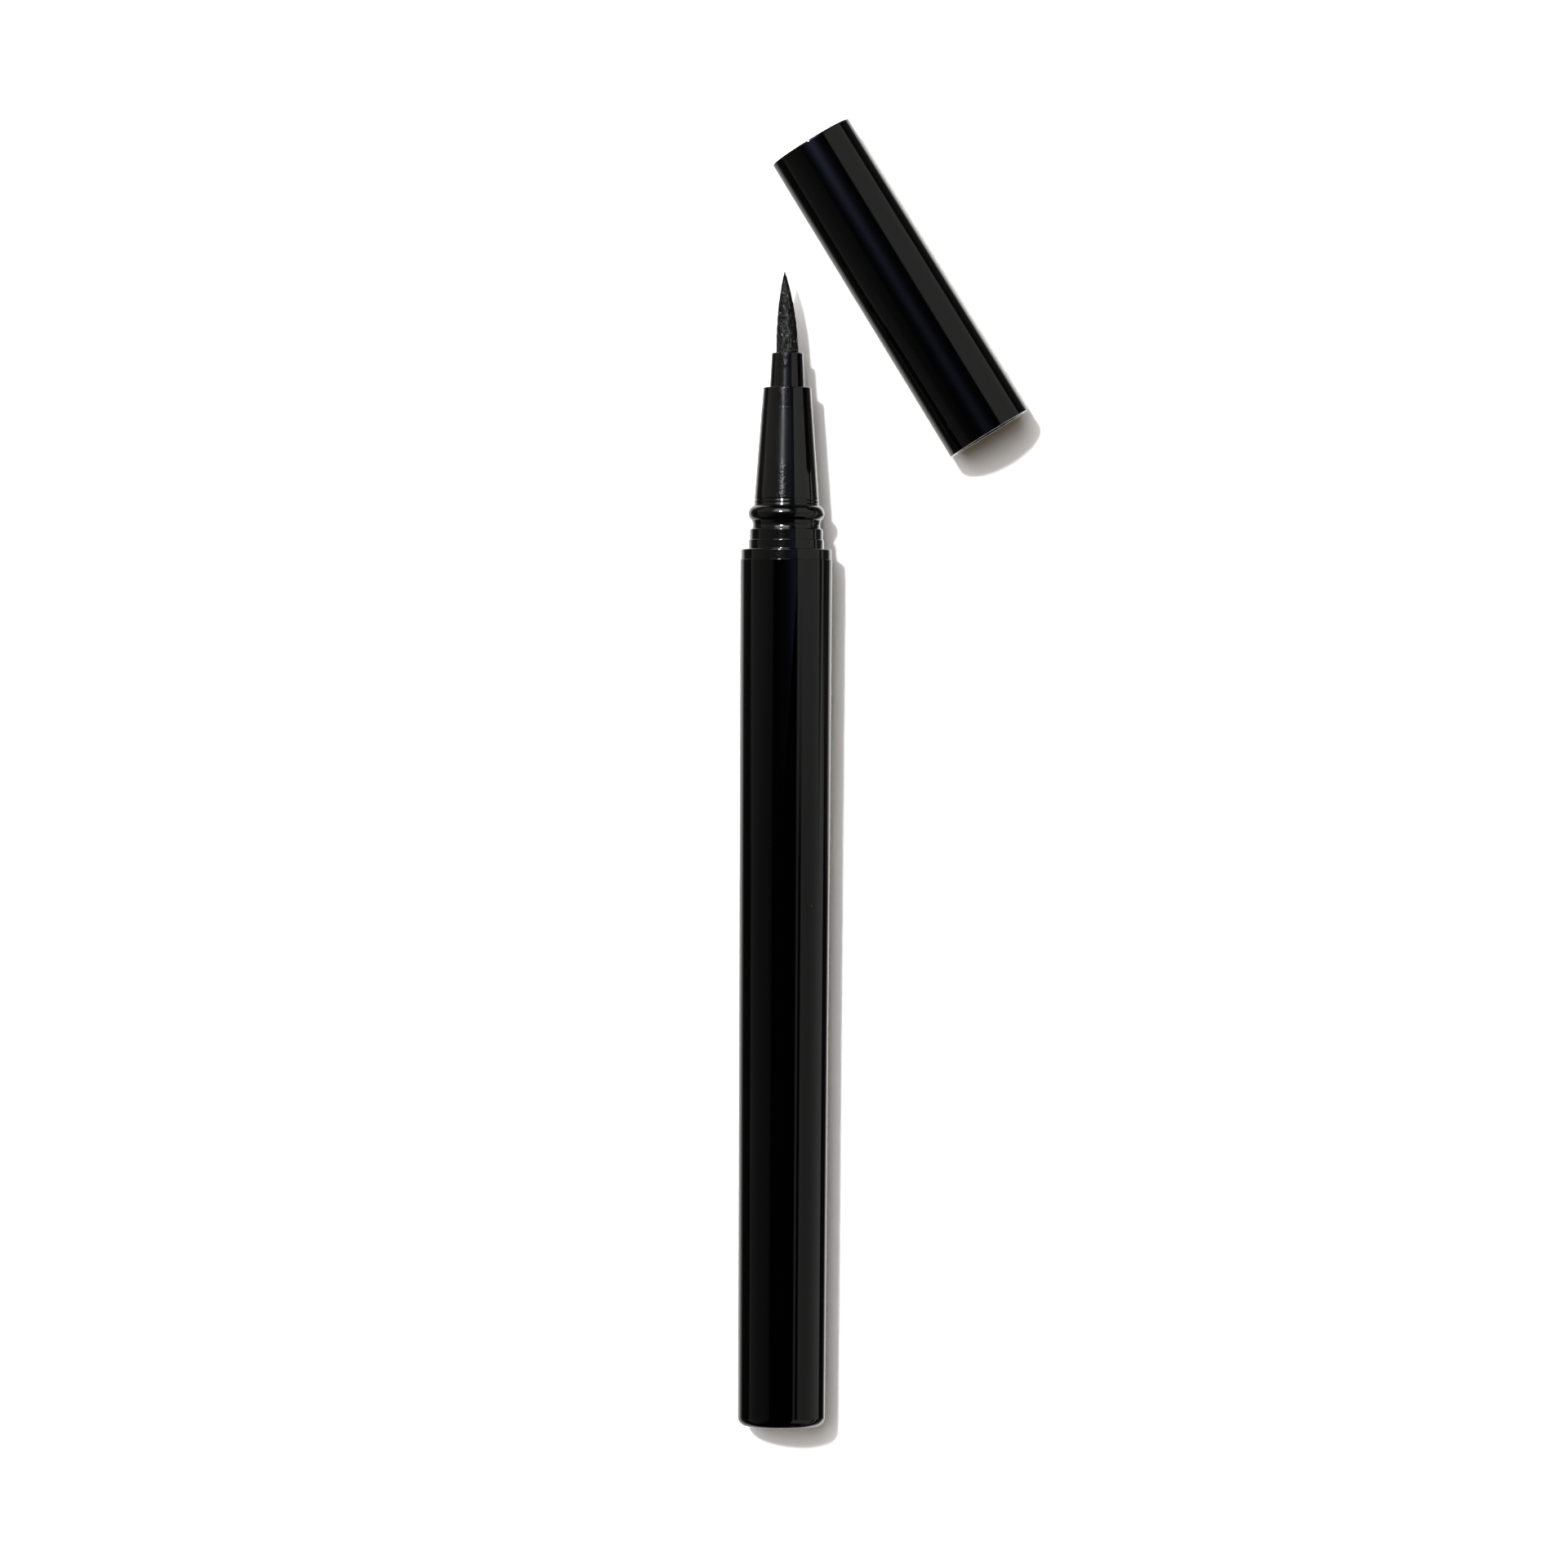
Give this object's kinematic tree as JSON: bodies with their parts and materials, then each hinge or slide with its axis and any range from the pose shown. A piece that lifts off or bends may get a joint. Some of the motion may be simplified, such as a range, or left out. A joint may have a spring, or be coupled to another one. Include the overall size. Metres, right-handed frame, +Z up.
{
  "type": "liquid eyeliner pen",
  "caption": "Slim glossy black liquid eyeliner pen with a pointed wet brush in a tapered nose; its tubular pull-off cap lies askew beside the tip.",
  "frame": {"origin": "centre of the barrel's flat tail face, on the pen's axis", "axes": "+Y along the pen's axis from its tail to its brush, +Z up from the table that the pen and its cap lie on, +X towards the cap"},
  "size_m": [0.0325, 0.148, 0.0104],
  "materials": {
    "barrel_black": "piano-black gloss",
    "front_black": "moulded black gloss with fine flow marks",
    "holder_black": "moulded black gloss",
    "bristle_black": "fine nylon filaments wet with ink",
    "root_black": "filaments fused by heat",
    "tube_clear": "natural extruded tube",
    "holder_natural": "natural moulded resin",
    "fibre_core": "bonded fibre soaked with ink",
    "collector_natural": "natural moulded resin",
    "plug_natural": "natural moulded resin",
    "seal_rubber": "soft black rubber",
    "tank_natural": "translucent natural resin",
    "ball_steel": "ground steel",
    "cap_black": "piano-black gloss",
    "liner_black": "soft moulded resin"
  },
  "bodies": {
    "pen": {"barrel": "barrel_black", "front_section": "front_black", "tip_holder": "holder_black", "brush_bristles": "bristle_black", "brush_root": "root_black", "feed_tube": "tube_clear", "tube_holder": "holder_natural", "feed_core": "fibre_core", "collector": "collector_natural", "tank_plug": "plug_natural", "plug_seal": "seal_rubber", "ink_tank": "tank_natural"},
    "cap": {"cap_shell": "cap_black", "inner_cap": "liner_black"},
    "ball": {"mixing_ball": "ball_steel"}
  },
  "joints": [
    {"name": "cap_pull", "type": "slide", "parent": "pen", "child": "cap", "axis": [-0.5286, 0.8489, 0], "range_m": [0, 0.03155]},
    {"name": "ball_roll", "type": "slide", "parent": "pen", "child": "ball", "axis": [0, 1, 0], "range_m": [-0.0073, 0.0587]}
  ]
}
